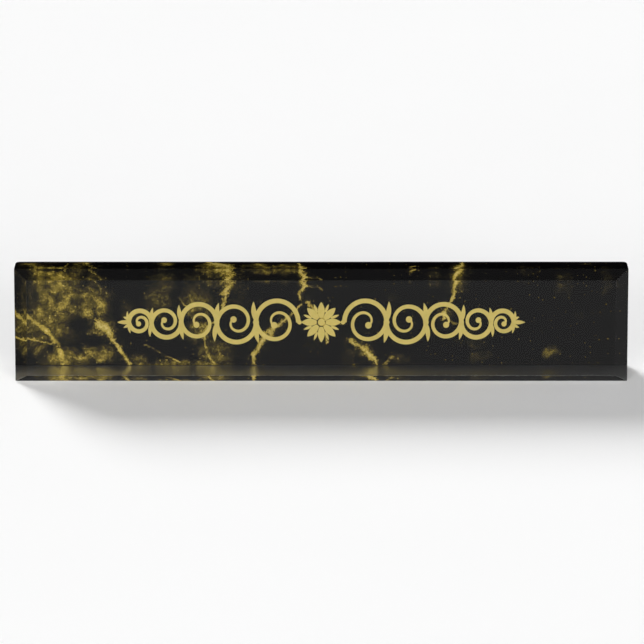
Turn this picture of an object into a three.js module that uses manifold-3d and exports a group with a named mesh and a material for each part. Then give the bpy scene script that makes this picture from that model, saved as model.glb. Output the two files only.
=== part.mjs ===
// Desk name plate: a clear acrylic wedge block whose leaning front has polished, mitred bevels
// on all four sides. A printed film is bonded to its upright back, and an opaque sheet backs it.
// The three are cut to length together, and the upright corners at the back are eased through all.
// Millimetres, +Z up, front towards -Y, origin under the middle of the whole plate.

import * as THREE from 'three';
import { mergeVertices } from 'three/addons/utils/BufferGeometryUtils.js';
import Module from 'manifold-3d';

// Driving dimensions
const length = 254;
const height = 45.4;
const baseDepth = 19.05; // foot of the front bevel to the back
const topDepth = 7.3; // flat top, front to back
const bevelDepth = 4.2; // how far the front face stands out of the bevels' outer edges
const topBevelWidth = 4.35; // all three widths are measured in the plane of the front face
const endBevelWidth = 5.4;
const footBevelWidth = 2.85;
const arrisWidth = 0.25; // flat of each polished edge between two faces of the block
const backCornerRadius = 2; // eased upright corners at the back, through all three layers
const backCornerSegments = 8; // straight steps in each eased corner
const printThickness = 0.25;
const backingThickness = 0.6;

// The front leans back about the foot, so that its outer edges run from the base to the flat top.
const leanRun = baseDepth - topDepth;
const leanAngle = Math.atan2(leanRun, height);
const slopeLength = Math.hypot(leanRun, height);
const faceHeight = slopeLength - topBevelWidth - footBevelWidth;

// The block's back is the plane Y = 0, and the backing's rear is this one.
const rearPlane = printThickness + backingThickness;

// How far the solids that shape the block run past it, so that they cut it and nothing else
const cutReach = 2 * baseDepth;

const wasm = await Module();
wasm.setup();

// A closed surface as a solid that can be cut, with the vertices that its faces share made one.
function toSolid(geometry) {
  const bare = geometry.clone();
  bare.deleteAttribute('normal');
  bare.deleteAttribute('uv');
  const merged = mergeVertices(bare, 1e-5);
  const vertProperties = new Float32Array(merged.attributes.position.array);
  const triVerts = new Uint32Array(merged.index.array);
  return new wasm.Manifold(new wasm.Mesh({ numProp: 3, vertProperties, triVerts }));
}

function toGeometry(solid) {
  const mesh = solid.getMesh();
  const geometry = new THREE.BufferGeometry();
  geometry.setAttribute('position', new THREE.BufferAttribute(mesh.vertProperties, 3));
  geometry.setIndex(new THREE.BufferAttribute(mesh.triVerts, 1));
  const flat = geometry.toNonIndexed();
  flat.computeVertexNormals();
  return flat;
}

// A point of the side profile, in (Y, Z), reached by going up the slope from the foot of the front
// and then out of it along the face's normal.
function slopePoint(up, out) {
  return new THREE.Vector2(
    -baseDepth + up * Math.sin(leanAngle) - out * Math.cos(leanAngle),
    up * Math.cos(leanAngle) + out * Math.sin(leanAngle),
  );
}

// Corners of the side profile
const backFoot = new THREE.Vector2(0, 0);
const backTop = new THREE.Vector2(0, height);
const topFront = new THREE.Vector2(-topDepth, height);
const faceTop = slopePoint(footBevelWidth + faceHeight, bevelDepth);
const faceFoot = slopePoint(footBevelWidth, bevelDepth);
const baseFront = new THREE.Vector2(-baseDepth, 0);

// Side profile, swept along the length: base, foot bevel, face, top bevel, flat top and back.
function profileSolid() {
  const shape = new THREE.Shape([backFoot, backTop, topFront, faceTop, faceFoot, baseFront]);
  const geometry = new THREE.ExtrudeGeometry(shape, { depth: length, bevelEnabled: false });
  // Shape X to world Y, shape Y to world Z and the sweep to world X
  const turn = new THREE.Matrix4().makeBasis(
    new THREE.Vector3(0, 1, 0),
    new THREE.Vector3(0, 0, 1),
    new THREE.Vector3(1, 0, 0),
  );
  geometry.applyMatrix4(turn);
  geometry.translate(-length / 2, 0, 0);
  return toSolid(geometry);
}

// What the end bevels leave, swept along the slope. Cutting the profile with it mitres the corners.
function endBevelSolid() {
  const half = length / 2;
  const shape = new THREE.Shape([
    new THREE.Vector2(-half, -cutReach),
    new THREE.Vector2(half, -cutReach),
    new THREE.Vector2(half, 0),
    new THREE.Vector2(half - endBevelWidth, bevelDepth),
    new THREE.Vector2(-half + endBevelWidth, bevelDepth),
    new THREE.Vector2(-half, 0),
  ]);
  const sweep = slopeLength + 2 * cutReach;
  const geometry = new THREE.ExtrudeGeometry(shape, { depth: sweep, bevelEnabled: false });
  // Shape X runs along the plate, shape Y out of the face, and the sweep up the slope.
  const along = new THREE.Vector3(1, 0, 0);
  const outOfFace = new THREE.Vector3(0, -Math.cos(leanAngle), Math.sin(leanAngle));
  const upSlope = new THREE.Vector3(0, Math.sin(leanAngle), Math.cos(leanAngle));
  const turn = new THREE.Matrix4().makeBasis(along.clone().negate(), outOfFace, upSlope);
  geometry.translate(0, 0, -cutReach);
  geometry.applyMatrix4(turn);
  geometry.translate(0, -baseDepth, 0);
  return toSolid(geometry);
}

// Plan outline of the whole plate, with the two eased corners behind the backing, swept upwards.
function planSolid() {
  const half = length / 2;
  const r = backCornerRadius;
  const shape = new THREE.Shape();
  shape.moveTo(-half, -cutReach);
  shape.lineTo(half, -cutReach);
  shape.lineTo(half, rearPlane - r);
  shape.absarc(half - r, rearPlane - r, r, 0, Math.PI / 2, false);
  shape.lineTo(-half + r, rearPlane);
  shape.absarc(-half + r, rearPlane - r, r, Math.PI / 2, Math.PI, false);
  shape.closePath();
  const geometry = new THREE.ExtrudeGeometry(shape, {
    depth: height + 2 * cutReach,
    bevelEnabled: false,
    curveSegments: backCornerSegments,
  });
  geometry.translate(0, 0, -cutReach);
  return toSolid(geometry);
}

// The block's flat faces, each by its outward normal and a point on it
function profileFace(from, to) {
  const normal = new THREE.Vector3(0, to.y - from.y, from.x - to.x).normalize();
  return { normal, point: new THREE.Vector3(0, from.x, from.y) };
}

function endFace(side) {
  return { normal: new THREE.Vector3(side, 0, 0), point: new THREE.Vector3((side * length) / 2, 0, 0) };
}

function endBevelFace(side) {
  const normal = new THREE.Vector3(
    side * bevelDepth,
    -endBevelWidth * Math.cos(leanAngle),
    endBevelWidth * Math.sin(leanAngle),
  ).normalize();
  return { normal, point: new THREE.Vector3((side * length) / 2, -baseDepth, 0) };
}

const faces = {
  back: profileFace(backFoot, backTop),
  top: profileFace(backTop, topFront),
  topBevel: profileFace(topFront, faceTop),
  front: profileFace(faceTop, faceFoot),
  footBevel: profileFace(faceFoot, baseFront),
  base: profileFace(baseFront, backFoot),
  leftEnd: endFace(-1),
  rightEnd: endFace(1),
  leftBevel: endBevelFace(-1),
  rightBevel: endBevelFace(1),
};

// The pairs of faces that meet in a polished edge. The block is convex, so one plane across the
// line where two faces meet trims that edge and touches nothing else.
const polishedEdges = [
  ['top', 'topBevel'],
  ['topBevel', 'front'],
  ['front', 'footBevel'],
  ['footBevel', 'base'],
];
for (const side of ['left', 'right']) {
  polishedEdges.push([`${side}Bevel`, 'front']);
  polishedEdges.push([`${side}Bevel`, 'topBevel']);
  polishedEdges.push([`${side}Bevel`, 'footBevel']);
  polishedEdges.push([`${side}Bevel`, `${side}End`]);
  polishedEdges.push(['top', `${side}End`]);
  polishedEdges.push(['base', `${side}End`]);
}

// Everything behind the plane that flattens the edge between two faces
function arrisSolid(faceA, faceB) {
  const normal = faceA.normal.clone().add(faceB.normal).normalize();
  const halfTurn = faceA.normal.angleTo(faceB.normal) / 2;
  const trim = (arrisWidth / 2) * Math.tan(halfTurn);
  const toEdge = faceA.normal.dot(faceA.point) + faceB.normal.dot(faceB.point);
  const edgeDistance = toEdge / (2 * Math.cos(halfTurn));
  const size = 2 * (length + cutReach);
  const geometry = new THREE.BoxGeometry(size, size, size);
  geometry.translate(0, 0, edgeDistance - trim - size / 2);
  geometry.applyQuaternion(new THREE.Quaternion().setFromUnitVectors(new THREE.Vector3(0, 0, 1), normal));
  return toSolid(geometry);
}

// The block's back face lies on the plane Y = 0, where the print is bonded.
function acrylicBlockGeometry() {
  let block = profileSolid().intersect(endBevelSolid()).intersect(planSolid());
  for (const [a, b] of polishedEdges) {
    block = block.intersect(arrisSolid(faces[a], faces[b]));
  }
  return toGeometry(block);
}

// One of the layers behind the block, from one plane to another, cut to the plate's plan outline
function backLayerGeometry(front, rear) {
  const geometry = new THREE.BoxGeometry(length, rear - front, height);
  geometry.translate(0, (front + rear) / 2, height / 2);
  return toGeometry(toSolid(geometry).intersect(planSolid()));
}

function addPiece(parent, name, geometry, material) {
  const mesh = new THREE.Mesh(geometry, material);
  mesh.name = name;
  parent.add(mesh);
}

const clearAcrylic = new THREE.MeshStandardMaterial({
  color: 0xf2f5f4,
  roughness: 0.04,
  metalness: 0,
  transparent: true,
  opacity: 0.35,
});
const marblePrint = new THREE.MeshStandardMaterial({ color: 0x14110a, roughness: 0.4, metalness: 0 });
const blackVinyl = new THREE.MeshStandardMaterial({ color: 0x0c0c0d, roughness: 0.55, metalness: 0 });

const plate = new THREE.Group();

// Everything hangs on the back plane, which stands so that the whole plate is centred on Y = 0.
const backAssembly = new THREE.Group();
const blockGeometry = acrylicBlockGeometry();
blockGeometry.computeBoundingBox();
const frontReach = -blockGeometry.boundingBox.min.y;
backAssembly.position.y = (frontReach - rearPlane) / 2;
plate.add(backAssembly);

addPiece(backAssembly, 'acrylic_block', blockGeometry, clearAcrylic);
addPiece(backAssembly, 'marble_print', backLayerGeometry(0, printThickness), marblePrint);
addPiece(backAssembly, 'backing_sheet', backLayerGeometry(printThickness, rearPlane), blackVinyl);

export default plate;
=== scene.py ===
import math

import bmesh
import bpy
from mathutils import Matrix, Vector


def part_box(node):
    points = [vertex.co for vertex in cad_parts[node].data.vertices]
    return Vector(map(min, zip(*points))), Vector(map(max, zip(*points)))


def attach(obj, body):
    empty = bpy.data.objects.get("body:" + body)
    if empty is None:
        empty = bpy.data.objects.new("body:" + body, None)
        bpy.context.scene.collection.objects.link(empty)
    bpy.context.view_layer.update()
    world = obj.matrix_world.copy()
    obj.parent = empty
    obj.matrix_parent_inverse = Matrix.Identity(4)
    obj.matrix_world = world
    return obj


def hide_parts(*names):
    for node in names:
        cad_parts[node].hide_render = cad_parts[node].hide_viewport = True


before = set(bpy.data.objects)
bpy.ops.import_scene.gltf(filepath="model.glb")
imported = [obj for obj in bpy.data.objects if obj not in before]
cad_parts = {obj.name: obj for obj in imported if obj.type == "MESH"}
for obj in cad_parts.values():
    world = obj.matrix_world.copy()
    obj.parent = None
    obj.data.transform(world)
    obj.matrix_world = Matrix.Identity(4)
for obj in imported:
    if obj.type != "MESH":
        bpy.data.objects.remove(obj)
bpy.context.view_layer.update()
MM = 0.001

# The acrylic block. A wedge of clear cast acrylic, sawn from 3/4 in sheet and milled so that its
# front leans back and stands proud of four mitred bevels. Its edges are polished, which rounds
# them a little, and everything else on the plate is bonded to its upright back.

block_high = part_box("acrylic_block")[1]
rear_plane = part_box("backing_sheet")[1].y
half_length = block_high.x
height = block_high.z
back_plane = block_high.y
base_depth = 19.05 * MM
top_depth = 7.3 * MM
bevel_depth = 4.2 * MM
top_bevel_width = 4.35 * MM
end_bevel_width = 5.4 * MM
foot_bevel_width = 2.85 * MM
back_corner_radius = 2 * MM
back_corner_steps = 12
polished_edge_width = 0.32 * MM
polished_edge_steps = 4
hair = 0.001 * MM
flat_within = math.radians(0.5)

acrylic_ior = 1.49
acrylic_tint = (0.985, 0.992, 0.990)
handled_tint = (0.975, 0.985, 0.983)
polish_roughness = 0.004
wiped_roughness = 0.022
base_roughness = 0.38


class Wire:
    """A socket in a material, so that a pattern can be written as a formula."""

    def __init__(self, tree, socket=None):
        self.tree = tree
        self.socket = socket

    def node(self, kind, settings=None, inputs=None, output=0):
        """Any node: its settings, then values or links for its sockets, and the output wanted."""
        made = self.tree.nodes.new(kind)
        for name, value in (settings or {}).items():
            setattr(made, name, value)
        for name, value in (inputs or {}).items():
            self.feed(self.find(made.inputs, name), value)
        return Wire(self.tree, self.find(made.outputs, output) if made.outputs else None)

    @staticmethod
    def find(sockets, name):
        if isinstance(name, int):
            return sockets[name]
        return next(s for s in sockets if name in (s.identifier, s.name) and s.enabled)

    def feed(self, socket, value):
        if isinstance(value, Wire):
            self.tree.links.new(value.socket, socket)
        elif socket.type == "RGBA":
            socket.default_value = (*value, 1)
        else:
            socket.default_value = value

    def math(self, operation, *values):
        return self.node("ShaderNodeMath", {"operation": operation}, dict(enumerate(values)))

    def vector(self, operation, *values, output=0):
        inputs = dict(enumerate(values))
        return self.node("ShaderNodeVectorMath", {"operation": operation}, inputs, output)

    def __add__(self, other):
        return self.math("ADD", self, other)

    __radd__ = __add__

    def __sub__(self, other):
        return self.math("SUBTRACT", self, other)

    def __rsub__(self, other):
        return self.math("SUBTRACT", other, self)

    def __mul__(self, other):
        return self.math("MULTIPLY", self, other)

    __rmul__ = __mul__

    def least(self, other):
        return self.math("MINIMUM", self, other)

    def most(self, other):
        return self.math("MAXIMUM", self, other)

    def clamped(self):
        return self.most(0.0).least(1.0)

    def of(self, vector):
        """This share of a fixed vector."""
        inputs = {"Vector": vector, "Scale": self}
        return self.node("ShaderNodeVectorMath", {"operation": "SCALE"}, inputs)

    def rise(self, start, end):
        """Goes smoothly from 0, where the value is at start, to 1, where it is at end."""
        inputs = {"Value": self, "From Min": start, "From Max": end}
        return self.node("ShaderNodeMapRange", {"interpolation_type": "SMOOTHSTEP"}, inputs)

    def noise(self, size, detail=3.0, roughness=0.5, seed=0, output="Fac"):
        """Soft noise from 0 to 1, with its largest blotches about size across."""
        place = self.vector("ADD", self, (seed * 17.3, seed * 5.9, seed * 11.1))
        inputs = {"Vector": place, "Scale": 1 / size, "Detail": detail, "Roughness": roughness}
        return self.node("ShaderNodeTexNoise", None, inputs, output)

    def blend(self, low, high):
        """The colour low where this mask is 0, and high where it is 1."""
        inputs = {"Factor": self, "A": low, "B": high}
        return self.node("ShaderNodeMix", {"data_type": "RGBA"}, inputs, "Result")

    def bump(self, height_in_mm):
        """A normal bent by this height, where 1 stands for height_in_mm."""
        inputs = {"Height": self, "Distance": height_in_mm * MM, "Strength": 1.0}
        return self.node("ShaderNodeBump", None, inputs)


def new_material(name):
    """A bare material, and a wire in it that gives a point of the plate in millimetres."""
    material = bpy.data.materials.new(name)
    material.use_nodes = True
    material.node_tree.nodes.clear()
    place = Wire(material.node_tree).node("ShaderNodeTexCoord", output="Object")
    return material, place.vector("MULTIPLY", place, (1 / MM, 1 / MM, 1 / MM))


def close_material(wire, sockets):
    """Ends a material in one Principled shader."""
    shader = wire.node("ShaderNodeBsdfPrincipled", None, sockets)
    wire.node("ShaderNodeOutputMaterial", None, {"Surface": shader})


def new_piece(name, shell, material):
    """A mesh piece on the plate's one body."""
    mesh = bpy.data.meshes.new(name)
    shell.to_mesh(mesh)
    shell.free()
    mesh.materials.append(material)
    piece = bpy.data.objects.new(name, mesh)
    bpy.context.scene.collection.objects.link(piece)
    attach(piece, "root")
    return piece


def round_edges(piece, width, steps, bond_plane):
    """Rounds the edges between flat faces, but not those in the plane that is bonded to the next
    layer, nor the upright ones of the eased corners at the back."""
    mesh = piece.data
    mesh.polygons.foreach_set("use_smooth", [True] * len(mesh.polygons))
    rounded = mesh.attributes.new("bevel_weight_edge", "FLOAT", "EDGE")
    for edge, weight in zip(mesh.edges, rounded.data):
        ends = [mesh.vertices[v].co for v in edge.vertices]
        along_bond = all(abs(end.y - bond_plane) < hair for end in ends)
        upright_back = all(end.y > back_plane - 2 * back_corner_radius for end in ends)
        upright = abs(ends[0].z - ends[1].z) > hair
        weight.value = 0.0 if along_bond or (upright_back and upright) else 1.0
        edge.use_edge_sharp = along_bond
    edges = piece.modifiers.new("polished_edges", "BEVEL")
    edges.offset_type = "WIDTH"
    edges.width = width
    edges.segments = steps
    edges.limit_method = "WEIGHT"
    shading = piece.modifiers.new("flat_faces", "WEIGHTED_NORMAL")
    shading.weight = 100
    shading.keep_sharp = True


def arc(centre, radius, start, end, steps):
    """Points of an arc in a plane, from one angle to another."""
    turns = [start + (end - start) * k / steps for k in range(steps + 1)]
    return [(centre[0] + radius * math.cos(a), centre[1] + radius * math.sin(a)) for a in turns]


lean = math.atan2(base_depth - top_depth, height)
slope_length = math.hypot(base_depth - top_depth, height)


def slope_point(up, out):
    """(y, z) reached by going up the leaning front from its foot, and out along its normal."""
    y = back_plane - base_depth + up * math.sin(lean) - out * math.cos(lean)
    return y, up * math.cos(lean) + out * math.sin(lean)


def plan_corner(front, rear):
    """The part of the plate's eased back corner that lies from one plane to another."""
    centre = (half_length - back_corner_radius, rear_plane - back_corner_radius)
    start, end = (math.asin((y - centre[1]) / back_corner_radius) for y in (front, rear))
    return arc(centre, back_corner_radius, start, end, back_corner_steps)


def block_corners():
    """Every corner of the block, with its two upright back corners as arcs."""
    face_half = half_length - end_bevel_width
    face_top = slope_point(slope_length - top_bevel_width, bevel_depth)
    face_foot = slope_point(foot_bevel_width, bevel_depth)
    top_front = (back_plane - top_depth, height)
    base_front = (back_plane - base_depth, 0)
    corners = []
    for side in (-1, 1):
        corners += [(side * face_half, *point) for point in (face_top, face_foot)]
        corners += [(side * half_length, *point) for point in (top_front, base_front)]
        for x, y in plan_corner(rear_plane - back_corner_radius, back_plane):
            corners += [(side * x, y, 0), (side * x, y, height)]
    return corners


clear_acrylic, spot = new_material("clear_acrylic")
wipe_marks = spot.vector("MULTIPLY", spot, (0.25, 1, 1)).noise(9, detail=4, roughness=0.6, seed=3)
handling = spot.noise(26, detail=2, seed=5).rise(0.45, 0.75)
level = spot.node("ShaderNodeSeparateXYZ", None, {0: spot}, 2)
satin_base = level.rise(0.10, 0.03) * base_roughness
wiped = wiped_roughness * wipe_marks.rise(0.5, 0.8)
close_material(spot, {
    "Base Color": handling.blend(acrylic_tint, handled_tint),
    "Roughness": satin_base + polish_roughness + wiped * handling,
    "IOR": acrylic_ior,
    "Transmission Weight": 1.0,
})

shell = bmesh.new()
for corner in block_corners():
    shell.verts.new(corner)
bmesh.ops.convex_hull(shell, input=shell.verts)
bmesh.ops.dissolve_limit(shell, angle_limit=flat_within, verts=shell.verts, edges=shell.edges)
bmesh.ops.recalc_face_normals(shell, faces=shell.faces)
block = new_piece("clear_block", shell, clear_acrylic)
round_edges(block, polished_edge_width, polished_edge_steps, back_plane)
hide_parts("acrylic_block")

# The marble print. A thin film printed in black and gold, bonded face first to the block's back,
# so that it is in optical contact with the acrylic and shows no gloss of its own. It is trimmed
# flush with the block. The gold lies in clouds, in veins that branch and break, and in specks.

print_low, print_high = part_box("marble_print")
layer_edge_width = 0.05 * MM
layer_edge_steps = 2
bond_depth = 0.03 * MM

ink_black = (0.0006, 0.0006, 0.0007)
ink_umber = (0.021, 0.0165, 0.0055)
ink_olive = (0.116, 0.084, 0.012)
ink_gold = (0.425, 0.312, 0.052)
ink_bright = (0.69, 0.55, 0.19)

# How much gold the clouds, veins and specks each bring
cloud_gold, fleck_gold, filament_gold = 0.31, 0.22, 0.16
vein_gold, dust_gold, hairline_gold = 1.08, 0.28, 0.6
speck_gold, speck_gold_on_threads = 0.22, 0.5
haze_gold, haze_gold_on_blotches = 0.03, 0.36

# Veins, each as points across, up and half its width there, all in millimetres
bold_veins = [
    [(-48, 46, 0.5), (-44, 43, 1.2), (-39.5, 40, 1.7), (-37.6, 36.5, 1.7), (-40.6, 32.5, 1.1),
     (-41.8, 25, 0.6)],
    [(-49.4, 14, 0.9), (-47.6, 17.5, 0.6), (-43.6, 21, 0.4)],
    [(-10, 43.5, 0.4), (-8.6, 38.4, 0.5), (-6.3, 35.8, 0.9), (-9, 32, 0.6), (-8.4, 29.4, 0.45)],
    [(-8, 27.2, 0.3), (-12.2, 24.2, 0.5), (-15.5, 21, 0.8), (-20, 16.2, 1.1), (-25, 11, 1.0),
     (-29, 4.5, 0.7)],
    [(-29, 4.5, 0.7), (-29.6, -3, 0.6)],
    [(-5.4, 28.6, 0.5), (-1.8, 24.2, 1.1), (0.6, 20.9, 1.5), (1.2, 17, 0.7), (2, 10.6, 0.4)],
    [(11.4, 11.6, 0.6), (16.6, 8.4, 1.3), (21.2, 4.2, 1.2), (23.4, 1.8, 1.1), (24.2, -3, 0.9)],
    [(58, 46, 0.3), (58.6, 41, 0.65), (55.6, 36.6, 1.0), (54.4, 31, 0.45), (51.4, 25, 0.8),
     (50.4, 21, 0.6)],
    [(-92.5, 18.5, 1.3), (-88.5, 16, 1.4), (-86, 11.6, 1.0), (-81.5, 4, 0.7), (-79.5, -2, 1.0)],
]
fine_veins = [
    [(-126, 25.5, 1.2), (-122.5, 22, 0.8), (-116, 17, 1.0), (-112, 12.4, 0.9), (-108.4, 5.5, 0.9)],
    [(-108.4, 5.5, 0.9), (-107.4, -2, 0.9)],
    [(-126.5, 14, 0.45), (-118.5, 10.4, 0.45), (-112, 9.4, 0.3)],
    [(-74.4, 8.8, 0.3), (-66, 4.6, 0.45), (-59, 0.6, 0.4)],
    [(-5.7, 35.6, 0.6), (-2, 35.4, 0.45), (0.2, 34, 0.4)],
    [(1.6, 20.2, 0.9), (4, 19.9, 0.5)],
    [(5.6, 19.6, 0.25), (9.6, 18.6, 0.25)],
    [(36.8, 37, 0.6), (37.2, 40, 0.9), (39, 41, 0.5)],
    [(14.4, 0.8, 0.5), (14.4, -4, 0.5)],
    [(30.4, 3.6, 0.8), (27, 0, 0.6)],
    [(50.6, 21, 0.5), (56.4, 19, 0.4)],
    [(-49, 12, 0.4), (-48, 6, 0.5), (-45, 2, 0.6)],
    [(-59, 30, 0.3), (-55, 26, 0.35), (-55.6, 21, 0.3)],
    [(-97, 44, 0.8), (-95, 38, 0.7), (-91.5, 34.6, 0.5)],
    [(-105.5, 44, 0.6), (-106.6, 40, 0.6)],
    [(-81.6, 40.4, 0.3), (-80.4, 38.8, 0.4)],
]

# Clouds and the clearings in them, each by its middle across and up, half its length and height,
# and how dense it is
clouds = [
    (-113, 28, 25, 30, 1.0), (-119, 12, 12, 17, 0.75), (-107, 3, 19, 8, 0.92), (-95, 27, 13, 15, 1.0),
    (-100, 44, 9, 6, 0.85), (-121, 43, 10, 6, 0.8), (-92, 17, 11, 8, 0.95), (-93, 6, 13, 8, 0.95),
    (-80, 24, 7, 10, 0.6), (-65, 43, 8, 5, 0.85), (-44, 40, 11, 8, 0.9), (-52, 28, 11, 14, 0.78),
    (-52, 15, 10, 9, 0.82), (-44, 6, 12, 9, 0.92), (-47, 0, 16, 5, 0.85), (-26, 39.5, 8, 6, 1.0),
    (-15, 39.5, 11, 5.5, 0.85), (-8, 37, 6, 6, 0.55), (-1, 23, 6, 6, 0.5), (-20, 16, 6, 6, 0.45),
    (57, 38, 7, 9, 0.75), (52, 23, 6, 6, 0.6), (46.5, 37, 5, 5, 0.6), (66, 4, 9, 5, 0.6),
    (96, 6, 6, 4.5, 0.85), (111, 44, 7, 4, 0.55), (18, 7, 8, 6, 0.6), (38, 40, 5, 4, 0.5),
    (12, 3, 6, 7, 0.5), (-76, 2, 8, 6, 0.7), (33, 3, 7, 6, 0.5), (-67, 30, 13, 15, 0.66),
    (-64, 0, 36, 4, 0.8), (101, 34, 9, 9, 0.42), (84, 39, 8, 6, 0.42), (118, 36, 6, 8, 0.45),
    (64, 10, 11, 7, 0.45), (107, 22, 10, 7, 0.36), (-4, 10, 9, 6, 0.36), (32, 30, 9, 6, 0.36),
    (-33, 30, 10, 7, 0.4),
]
clearings = [
    (-100, 17.4, 7, 4, 0.8), (-94, 11.2, 7, 3.5, 0.7), (-110, 42, 10, 5, 0.6), (-123, 4, 8, 5, 0.7),
    (-124.5, 31, 9, 13, 0.6),
]


def new_layer(name, low, high, front, rear, material):
    """A thin upright layer behind the block, cut to the plate's own plan outline."""
    shell = bmesh.new()
    corner = plan_corner(front, rear)
    outline = corner + [(-x, y) for x, y in reversed(corner)]
    base = shell.faces.new([shell.verts.new((x, y, low.z)) for x, y in outline])
    raised = bmesh.ops.extrude_face_region(shell, geom=[base])["geom"]
    moved = [v for v in raised if isinstance(v, bmesh.types.BMVert)]
    bmesh.ops.translate(shell, verts=moved, vec=(0, 0, high.z - low.z))
    bmesh.ops.recalc_face_normals(shell, faces=shell.faces)
    piece = new_piece(name, shell, material)
    round_edges(piece, layer_edge_width, layer_edge_steps, front)
    return piece


def distance_to_veins(place, veins):
    """How far a point is from the nearest vein, where 1 is that vein's own edge."""
    nearest = None
    for vein in veins:
        for (x0, z0, w0), (x1, z1, w1) in zip(vein, vein[1:]):
            run = Vector((x1 - x0, 0, z1 - z0))
            width = (w0 + w1) / 2
            offset = place.vector("SUBTRACT", place, (x0, 0, z0))
            along = place.vector("DOT_PRODUCT", offset, tuple(run / run.length_squared), output="Value")
            away = place.vector("SUBTRACT", offset, along.clamped().of(tuple(run)))
            share = place.vector("LENGTH", away, output="Value") * (1 / width)
            nearest = share if nearest is None else nearest.least(share)
    return nearest


def cover_of(place, regions):
    """How densely the regions cover a point, from 0 to 1."""
    cover = None
    for x, z, half_wide, half_high, density in regions:
        offset = place.vector("SUBTRACT", place, (x, 0, z))
        share = place.vector("MULTIPLY", offset, (1 / half_wide, 0, 1 / half_high))
        soft = density * place.vector("LENGTH", share, output="Value").rise(1.15, 0.1)
        cover = soft if cover is None else cover.most(soft)
    return cover


marble, spot = new_material("marble_print")
flat_spot = spot.vector("MULTIPLY", spot, (1, 0, 1))
drift = flat_spot.noise(13, detail=2, seed=1, output="Color")
ripple = flat_spot.noise(3.2, detail=5, roughness=0.68, seed=2, output="Color")
drifted = spot.vector("MULTIPLY_ADD", drift, (5, 0, 5), flat_spot)
bent = spot.vector("MULTIPLY_ADD", ripple, (3.0, 0, 3.0), drifted)
bent = spot.vector("SUBTRACT", bent, (4.0, 0, 4.0))

# Fine grain, blotches and long threads, on which the other masks build
grain = flat_spot.noise(0.9, detail=4, roughness=0.7, seed=4)
mottle = bent.noise(4.0, detail=7, roughness=0.72, seed=6)
thread = bent.noise(6.5, detail=5, roughness=0.62, seed=7)
ridge = 1 - thread.math("ABSOLUTE", thread - 0.5) * 15
ragged = (grain - 0.5) * 5.5 + (mottle - 0.5) * 3.5

# The veins: ragged bold ones with gold dust beside them, and fine ones that break off
bold = distance_to_veins(bent, bold_veins)
fine = distance_to_veins(bent, fine_veins) + ragged * 0.7
breaks = bent.noise(2.4, detail=5, roughness=0.7, seed=12).rise(0.36, 0.58)
core = (bold + ragged).rise(1.4, 0.4) * (0.30 + 1.30 * grain) * (0.42 + 0.62 * breaks)
dust = bold.rise(6.5, 0.8) * (grain + 0.8 * mottle).rise(0.86, 1.10)
hairline = fine.rise(1.4, 0.4) * (0.15 + 0.85 * breaks) * (0.3 + 1.3 * grain)

# The clouds, with flecks and filaments in them, and specks that lie scattered everywhere
cover = cover_of(bent, clouds) * (1 - cover_of(bent, clearings))
cloud = (1.35 * mottle + 0.36 * cover).rise(0.78, 1.20)
fleck = cloud * (0.55 * grain + 0.45 * thread).rise(0.47, 0.60)
filament = ridge.clamped() * cover.rise(0.15, 0.8)
speck = flat_spot.noise(1.2, detail=1, seed=9).rise(0.70, 0.775)

# How much gold there is in all, dimmed along the foot as a painted shade line where the print meets the
# block's base, and the ink's colour from that
amount = cloud * cloud_gold + fleck * fleck_gold + filament * filament_gold
amount = amount + core * vein_gold + dust * dust_gold + hairline * hairline_gold
amount = amount + speck * (speck_gold + speck_gold_on_threads * thread)
amount = amount + cover.rise(0.2, 0.9) * (haze_gold + haze_gold_on_blotches * mottle)
rise_of_spot = spot.node("ShaderNodeSeparateXYZ", None, {0: spot}, 2)
# Painted shade: within half a millimetre of the base the gold falls to 40 per cent, a dark shade line
# along the print's foot
amount = (amount * (0.4 + 0.6 * rise_of_spot.rise(0.15, 0.5))).clamped()
tint = amount.rise(0.0, 0.25).blend(ink_black, ink_umber)
tint = amount.rise(0.20, 0.55).blend(tint, ink_olive)
tint = amount.rise(0.45, 0.82).blend(tint, ink_gold)
tint = (amount + 0.7 * grain).rise(1.24, 1.50).blend(tint, ink_bright)
close_material(spot, {
    "Base Color": tint,
    "Roughness": 0.42 + 0.1 * grain,
    "Specular IOR Level": 0.0,
})

film = new_layer("marble_film", print_low, print_high, back_plane - bond_depth, print_high.y,
                 marble)
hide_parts("marble_print")

# The gold ornament. A flat gold ink printed over the marble along the middle of the plate: a
# rosette with a vine of five scrolls at either side, drawn in strokes that swell and taper. It
# is part of the printed film, and each layer of strokes is a few micrometres of ink.

ornament_middle = 19.4 * MM
ornament_stretch = 1.08
ink_thickness = 0.012 * MM
ink_step = 0.004 * MM
ornament_gold = (0.63, 0.50, 0.137)
ornament_light = (0.665, 0.53, 0.155)

scroll_radii = [8.8, 8.2, 7.4, 6.2, 4.7]
scroll_start = 9.6
scroll_turns = 1.62
scroll_eye = 0.2
vine_half_width = 0.95
tip_half_width = 0.34
bead_radius = 1.35
knot_radius = 1.25
eye_radius = 1.45
bead_corners = 28
ornament_half = 85.0

# Leaves, each by where its foot is, its length and half its width at the widest. Those at the
# vine's joints are shares of the scroll's own radius, and they lean in over the scroll.
petal_count = 8
petal_foot, petal_length, petal_half_width = 1.9, 6.4, 1.45
sepal_foot, sepal_length, sepal_half_width = 4.4, 3.6, 0.55
bud_foot, bud_length, bud_half_width = 8.2, 2.0, 0.9
joint_foot, joint_length, joint_half_width = 0.05, 0.93, 0.12
joint_lean, joint_lean_across, joint_curl = 0.30, 0.06, 0.4
tip_overlap, tip_leaf_half_width = 0.8, 0.85
shoot_overlap, shoot_rise, shoot_turn, shoot_curl = 0.6, 0.5, 0.75, 0.5
shoot_length, shoot_half_width = 3.4, 0.6
leaf_steps = 12
leaf_point_half_width = 0.02

# The layers of ink, each printed over the one before
stroke_layer, leaf_layer, shoot_layer, bead_layer = range(4)

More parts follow.
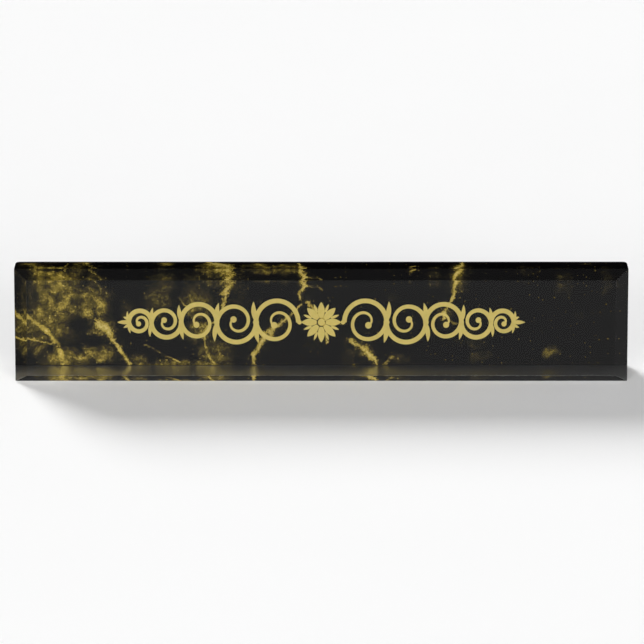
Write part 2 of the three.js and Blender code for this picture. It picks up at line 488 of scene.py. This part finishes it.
gold_ink, spot = new_material("gold_ink")
lay = spot.noise(1.6, detail=4, roughness=0.65, seed=14)
close_material(spot, {
    "Base Color": lay.rise(0.35, 0.65).blend(ornament_gold, ornament_light),
    "Roughness": 0.40 + 0.12 * lay,
    "Specular IOR Level": 0.0,
})


def ink_face(shell, outline, layer):
    """One patch of ink by its outline in millimetres from the ornament's middle, drawn taller."""
    front = back_plane - bond_depth - ink_thickness - layer * ink_step
    rise = ornament_stretch * MM
    ring = [shell.verts.new((x * MM, front, ornament_middle + z * rise)) for x, z in outline]
    return shell.faces.new(ring)


def stroke(shell, path, half_widths, layer):
    """A stroke of ink along a path, as wide at each point as half_widths says."""
    left, right = [], []
    for k, (x, z) in enumerate(path):
        before, after = path[max(k - 1, 0)], path[min(k + 1, len(path) - 1)]
        along = Vector((after[0] - before[0], after[1] - before[1])).normalized()
        left.append((x - along.y * half_widths[k], z + along.x * half_widths[k]))
        right.append((x + along.y * half_widths[k], z - along.x * half_widths[k]))
    for k in range(len(path) - 1):
        ink_face(shell, [left[k], left[k + 1], right[k + 1], right[k]], layer)


def bead(shell, centre, radius):
    ink_face(shell, arc(centre, radius, 0, 2 * math.pi, bead_corners)[:-1], bead_layer)


def leaf(shell, base, turn, size, half_width, curl, layer):
    """A pointed leaf from its base, that bends by curl over its length."""
    path, widths, x, z = [], [], *base
    for k in range(leaf_steps + 1):
        path.append((x, z))
        swell = math.sin(math.pi * min(0.12 + 0.88 * k / leaf_steps, 1.0)) ** 0.8
        widths.append(half_width * swell)
        heading = turn + curl * k / leaf_steps
        x += size / leaf_steps * math.cos(heading)
        z += size / leaf_steps * math.sin(heading)
    widths[-1] = leaf_point_half_width
    stroke(shell, path, widths, layer)


def scroll(shell, side, middle, radius, over):
    """One bay of the vine: it arches over or under, then coils in and ends in a bead."""
    half_turn = 36
    steps = round(half_turn * 2 * scroll_turns)
    path, widths = [], []
    for k in range(steps + 1):
        turned = math.pi * k / half_turn
        coil = max(k - half_turn, 0) / (steps - half_turn)
        reach = radius * (1 - (1 - scroll_eye) * coil ** 0.86)
        angle = math.pi - turned
        path.append((side * (middle + reach * math.cos(angle)), over * reach * math.sin(angle)))
        widths.append(vine_half_width * (1 - coil) + tip_half_width * coil)
    stroke(shell, path, widths, stroke_layer)
    bead(shell, path[-1], bead_radius * (0.55 + 0.45 * radius / scroll_radii[0]))


shell = bmesh.new()
for k in range(petal_count):
    turn = 2 * math.pi * k / petal_count
    foot = (petal_foot * math.cos(turn), petal_foot * math.sin(turn))
    leaf(shell, foot, turn, petal_length, petal_half_width, 0, leaf_layer)
    between = turn + math.pi / petal_count
    foot = (sepal_foot * math.cos(between), sepal_foot * math.sin(between))
    leaf(shell, foot, between, sepal_length, sepal_half_width, 0, shoot_layer)
bead(shell, (0, 0), eye_radius)
for side in (-1, 1):
    outward = 0 if side > 0 else math.pi
    middle = scroll_start
    for k, radius in enumerate(scroll_radii):
        over = 1 if k % 2 == 0 else -1
        middle += radius
        scroll(shell, side, middle, radius, over)
        joint = side * (middle + radius)
        for up in (-1, 1):
            slant = side * (joint_lean if up == over else joint_lean_across)
            leaf(shell, (joint, up * radius * joint_foot), up * (math.pi / 2 - slant),
                 radius * joint_length, radius * joint_half_width, up * side * joint_curl, leaf_layer)
        bead(shell, (joint, 0), knot_radius * radius / scroll_radii[0])
        middle += radius
    tip = side * middle
    tip_length = ornament_half - middle + tip_overlap
    leaf(shell, (tip - side * tip_overlap, 0), outward, tip_length, tip_leaf_half_width, 0, leaf_layer)
    for up in (-1, 1):
        foot = (tip - side * shoot_overlap, up * shoot_rise)
        leaf(shell, foot, outward + side * up * shoot_turn,
             shoot_length, shoot_half_width, -side * up * shoot_curl, shoot_layer)
    leaf(shell, (side * bud_foot, 0), outward, bud_length, bud_half_width, 0, shoot_layer)
bmesh.ops.remove_doubles(shell, verts=shell.verts, dist=0.0005 * MM)
bmesh.ops.recalc_face_normals(shell, faces=shell.faces)
inked = bmesh.ops.extrude_face_region(shell, geom=shell.faces[:])["geom"]
moved = [v for v in inked if isinstance(v, bmesh.types.BMVert)]
bmesh.ops.translate(shell, verts=moved, vec=(0, ink_thickness, 0))
bmesh.ops.recalc_face_normals(shell, faces=shell.faces)
new_piece("gold_ornament", shell, gold_ink)

# The backing sheet. Opaque black vinyl with a fine satin grain, laid over the whole print from
# behind so that no light comes through it.

backing_low, backing_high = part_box("backing_sheet")
vinyl_black = (0.011, 0.011, 0.012)
rubbed_black = (0.021, 0.021, 0.022)
pebble_height = 0.012

vinyl, spot = new_material("black_vinyl")
pebble = spot.noise(0.55, detail=3, roughness=0.6, seed=11)
rub = spot.vector("MULTIPLY", spot, (0.08, 1, 0.6)).noise(4, detail=5, roughness=0.6, seed=12)
close_material(spot, {
    "Base Color": rub.rise(0.4, 0.8).blend(vinyl_black, rubbed_black),
    "Roughness": 0.42 + 0.18 * rub,
    "Normal": pebble.bump(pebble_height),
})

backing = new_layer("vinyl_backing", backing_low, backing_high, backing_low.y, rear_plane,
                    vinyl)
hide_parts("backing_sheet")

# The floor and the light. A plain white table, a large lamp behind and to the left that throws the
# plate's shadow forwards, and a soft box at either side in front. The room is pale to the camera,
# also through the acrylic, and in glossy reflections its soft glows stand for lamps and table.

floor_half = 12
floor_drop = 0.05 * MM
floor_white = (0.92, 0.92, 0.92)
floor_shade = (0.90, 0.90, 0.90)
key_height = math.radians(29.4)
key_turn = math.radians(33)
key_strength = 3.2
key_spread = math.radians(22)
soft_box_turn = math.radians(152)
soft_box_height = math.radians(15)
soft_box_strength = 1.60
soft_box_spread = math.radians(30)
backdrop_white = 0.95
room_glow, front_glow, right_glow, left_glow = 0.008, 0.43, 0.40, 0.20
overhead_glow, underneath_glow, bounce_glow, key_glow = 0.13, 0.20, 1.7, 1.6

floor_paint, spot = new_material("floor_paint")
close_material(spot, {
    "Base Color": spot.noise(160, detail=2, seed=20).blend(floor_shade, floor_white),
    "Roughness": 0.9,
    "Specular IOR Level": 0.1,
})
shell = bmesh.new()
bmesh.ops.create_grid(shell, x_segments=8, y_segments=8, size=floor_half)
floor_mesh = bpy.data.meshes.new("floor")
shell.to_mesh(floor_mesh)
shell.free()
floor_mesh.materials.append(floor_paint)
floor = bpy.data.objects.new("floor", floor_mesh)
floor.location.z = -floor_drop
bpy.context.scene.collection.objects.link(floor)
floor.visible_glossy = False


def new_lamp(name, towards, strength, spread):
    """A lamp far off in the direction towards, seen as a disc spread wide."""
    data = bpy.data.lights.new(name, "SUN")
    data.energy = strength
    data.angle = spread
    lamp = bpy.data.objects.new(name, data)
    lamp.rotation_mode = "QUATERNION"
    lamp.rotation_quaternion = Vector(towards).to_track_quat("Z", "Y")
    lamp.visible_glossy = False
    bpy.context.scene.collection.objects.link(lamp)


def direction(turn, rise):
    """A direction by its turn from straight behind towards the left, and its height."""
    return (-math.sin(turn) * math.cos(rise), math.cos(turn) * math.cos(rise), math.sin(rise))


towards_key = direction(key_turn, key_height)
new_lamp("key_lamp", towards_key, key_strength, key_spread)
for side, name in ((1, "left_soft_box"), (-1, "right_soft_box")):
    towards_box = direction(side * soft_box_turn, soft_box_height)
    new_lamp(name, towards_box, soft_box_strength, soft_box_spread)

world = bpy.data.worlds.new("room")
bpy.context.scene.world = world
world.use_nodes = True
world.node_tree.nodes.clear()
room = Wire(world.node_tree)
heading = room.node("ShaderNodeTexCoord", output="Generated")
across, away, up = (room.node("ShaderNodeSeparateXYZ", None, {0: heading}, k) for k in range(3))
in_front = away.rise(-0.15, -0.75) * front_glow
at_right = across.rise(0.2, 0.8) * right_glow
at_left = across.rise(-0.3, -0.9) * left_glow
overhead = up.rise(0.55, 0.95) * overhead_glow
bounce_card = away.rise(-0.2, -0.5) * up.rise(-0.15, -0.3) * bounce_glow
underneath = up.rise(-0.4, -0.8) * underneath_glow + bounce_card
facing_key = heading.vector("DOT_PRODUCT", heading, towards_key, output="Value")
at_key = facing_key.rise(0.965, 0.985) * key_glow
glow = room_glow + in_front + at_right.most(at_left) + overhead + underneath + at_key
to_camera = room.node("ShaderNodeLightPath", output="Is Camera Ray")
through_acrylic = room.node("ShaderNodeLightPath", output="Is Transmission Ray")
seen = to_camera.most(through_acrylic)
strength = glow * (1 - seen) + backdrop_white * seen
shade = room.node("ShaderNodeBackground", None, {"Color": (1, 1, 1), "Strength": strength})
room.node("ShaderNodeOutputWorld", None, {"Surface": shade})

# The camera. A long lens a little above the plate and square to it, so far off that the plate's
# upright edges stay upright and its two long edges run level.

camera_rise = math.radians(22.32)
camera_distance = 1256 * MM
camera_aim = Vector((0.30, 1.24, 22.54)) * MM
camera_lens = 169.02
camera_data = bpy.data.cameras.new("camera")
camera_data.sensor_width = 36
camera_data.lens = camera_lens
camera_data.clip_start = 0.05
camera_data.clip_end = 100
camera = bpy.data.objects.new("camera", camera_data)
camera_back = Vector((0, -math.cos(camera_rise), math.sin(camera_rise)))
camera.location = camera_aim + camera_back * camera_distance
camera.rotation_mode = "QUATERNION"
camera.rotation_quaternion = (-camera_back).to_track_quat("-Z", "Y")
bpy.context.scene.collection.objects.link(camera)
bpy.context.scene.camera = camera
bpy.context.scene.view_settings.view_transform = "Standard"
bpy.context.scene.cycles.use_denoising = True
